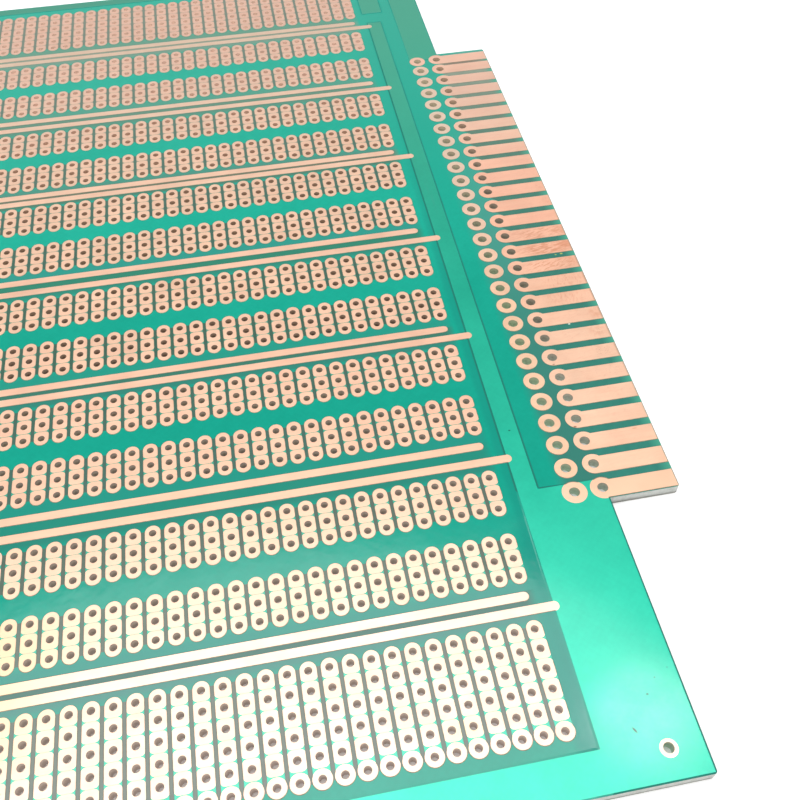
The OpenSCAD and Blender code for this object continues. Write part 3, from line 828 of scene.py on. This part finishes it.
def strip_template(rows, front):
    lp = [stadium_y(STRIP_W, STRIP_END, rows, 14)]
    if front:                              # the round pad takes the place of the strip's front end
        lp[0][15:, 1] += STRIP_END - STRIP_W / 2
        lp.append(arc(0, 0, FRONT_PAD_R, 24))
    lp += [arc(0, r * PITCH, HOLE_R, SEG) for r in range(rows)]
    r_ = STRIP_W / 2

    def keep(x, y):
        dy = np.maximum(np.maximum(r_ - STRIP_END - y, y - ((rows - 1) * PITCH + STRIP_END - r_)), 0)
        k = x * x + dy * dy <= r_ * r_
        if front:
            k |= x * x + y * y <= FRONT_PAD_R ** 2
        for r in range(rows):
            k &= ~in_disc(x, y, 0, r * PITCH, HOLE_R)
        return k
    return foil(lp, keep)


T3, T6, T6F = strip_template(3, False), strip_template(6, False), strip_template(6, True)
names = ["front"] + [a + k for a in "abcdef" for k in "12"] + ["back"]
for b, (y0, rows) in enumerate(BLOCKS):
    co, t, q, tm, qm = T6F if b == 0 else T3 if rows == 3 else T6
    parts = [(co + [-c * PITCH, y0, 0], t, q, tm, qm) for c in range(COLS)]
    to_object("pad_strips_" + names[b], parts, [COPPER], "strips_" + names[b])


def finger_loop(y):
    return np.vstack([arc(HEAD_X, y, RING_R, 28, math.degrees(math.asin(F_HIGH / RING_R)), 270), [X_TAB - FINGER_END, y - F_LOW], [X_TAB - FINGER_END, y + F_HIGH]])


def one_finger():
    return foil([finger_loop(0), arc(HEAD_X, 0, WIRE_R, 32)],
                lambda x, y: in_finger(x, y, 0) & ~in_disc(x, y, HEAD_X, 0, WIRE_R))


co, t, q, tm, qm = one_finger()
to_object("contact_fingers", [(co + [0, y, 0], t, q, tm, qm) for y in RINGS_Y[1:-1]], [COPPER_TAB], "edge_fingers")
co, t, q, tm, qm = foil([arc(RING_X, 0, RING_R, 40), arc(RING_X, 0, WIRE_R, 32)],
                        lambda x, y: in_disc(x, y, RING_X, 0, RING_R) & ~in_disc(x, y, RING_X, 0, WIRE_R))
to_object("wire_rings", [(co + [0, y, 0], t, q, tm, qm) for y in RINGS_Y[1:-1]], [COPPER_RING], "ring_pads")


def area(rects, bars, y, inside):
    lp = [rect(*r) for r in rects] + [stadium_x(b[0], b[1], b[2], RAIL_W) for b in bars]
    lp += [arc(RING_X, y, RING_R, 40), arc(RING_X, y, WIRE_R, 32), finger_loop(y), arc(HEAD_X, y, WIRE_R, 32)] + corner_loops

    def keep(x, yy):
        k = inside(x, yy) & ~in_disc(x, yy, RING_X, y, WIRE_R) & ~in_disc(x, yy, HEAD_X, y, WIRE_R)
        for c in CORNERS:
            k &= ~in_disc(x, yy, c[0], c[1], CORNER_R)
        return k
    return foil(lp, keep)


to_object("ground_foil", [area(G_RECTS, G_BARS, RINGS_Y[0], in_ground)], [COPPER_RAIL], "rails_ground")
to_object("supply_foil", [area(S_RECTS, S_BARS, RINGS_Y[-1], in_supply)], [COPPER_RAIL], "rails_supply")

# ---------------------------------------------------------------- stage, light and camera
bpy.ops.mesh.primitive_plane_add(size=6, location=(0, 0, -0.00002))
floor = bpy.context.object
floor.name = "floor"
fm, nt, bsdf, co = material("floor_paper")
nt.links.new(ramp(nt, noise(nt, co, 3, 2, 0.5), [(0.3, gray(0.90)), (0.7, gray(0.92))]), bsdf.inputs["Base Color"])
bsdf.inputs["Roughness"].default_value = 0.8
floor.data.materials.append(fm)


def studio_world():
    """A pale room: bright behind the viewer and low down, dimmer half way up in front, where the wall ends."""
    w = bpy.data.worlds.new("studio")
    SC.world = w
    w.use_nodes = True
    nt = w.node_tree
    bg = nt.nodes["Background"]
    sep = nt.nodes.new("ShaderNodeSeparateXYZ")
    nt.links.new(nt.nodes.new("ShaderNodeTexCoord").outputs["Generated"], sep.inputs[0])
    front = ramp(nt, sep.outputs[2], [(0.0, gray(0.85)), (0.42, gray(0.62)), (0.52, gray(0.52)), (0.62, gray(0.24)),
                                      (0.72, gray(0.13)), (0.84, gray(0.13)), (0.93, gray(0.5))])
    behind = gray(1.5)
    side = ramp(nt, math_node(nt, "MULTIPLY_ADD", sep.outputs[1], 0.5, 0.5), [(0.46, gray(1)), (0.60, gray(0))])
    nt.links.new(mix(nt, side, front, behind), bg.inputs[0])
    bg.inputs[1].default_value = 1.0


studio_world()


def area_light(name, at, size, radiance, aim=(0, 0, 0)):
    """Round soft light. at and aim are layout millimetres above the copper side."""
    d = bpy.data.lights.new(name, "AREA")
    d.shape, d.size, d.size_y = "ELLIPSE", size[0] / 1000, size[1] / 1000
    d.energy = radiance * math.pi * d.size * d.size_y * math.pi / 4
    o = bpy.data.objects.new(name, d)
    p = Vector(((at[0] - MIDX) / 1000, (at[1] - MIDY) / 1000, (at[2] + Z_CU) / 1000))
    q = Vector(((aim[0] - MIDX) / 1000, (aim[1] - MIDY) / 1000, (aim[2] + Z_CU) / 1000))
    o.location = p
    o.rotation_mode = "QUATERNION"
    o.rotation_quaternion = (q - p).to_track_quat("-Z", "Y")
    SC.collection.objects.link(o)
    return o


area_light("overhead_soft", (-106, 120, 500), (650, 408), 2.6, (-106, 120, 0))
area_light("overhead_core", (171, 150, 498), (72, 68), 6.4, (171, 150, 0))

cam = bpy.data.cameras.new("camera")
cam_o = bpy.data.objects.new("camera", cam)
SC.collection.objects.link(cam_o)
cam.sensor_width = 36
cam.lens = 41.8
right, up, back = (0.98223, -0.187547, -0.007015), (0.151048, 0.767782, 0.622652), (-0.111391, -0.612648, 0.782467)
m = Matrix([(right[i], up[i], back[i]) for i in range(3)]).to_4x4()
m.translation = Vector(((-24.650 - MIDX) / 1000, (-32.396 - MIDY) / 1000, (106.635 + Z_CU) / 1000))
cam_o.matrix_world = m
cam.clip_start, cam.clip_end = 0.005, 20
SC.camera = cam_o
SC.view_settings.view_transform = "Standard"
SC.view_settings.look = "None"
SC.view_settings.exposure = 0.0
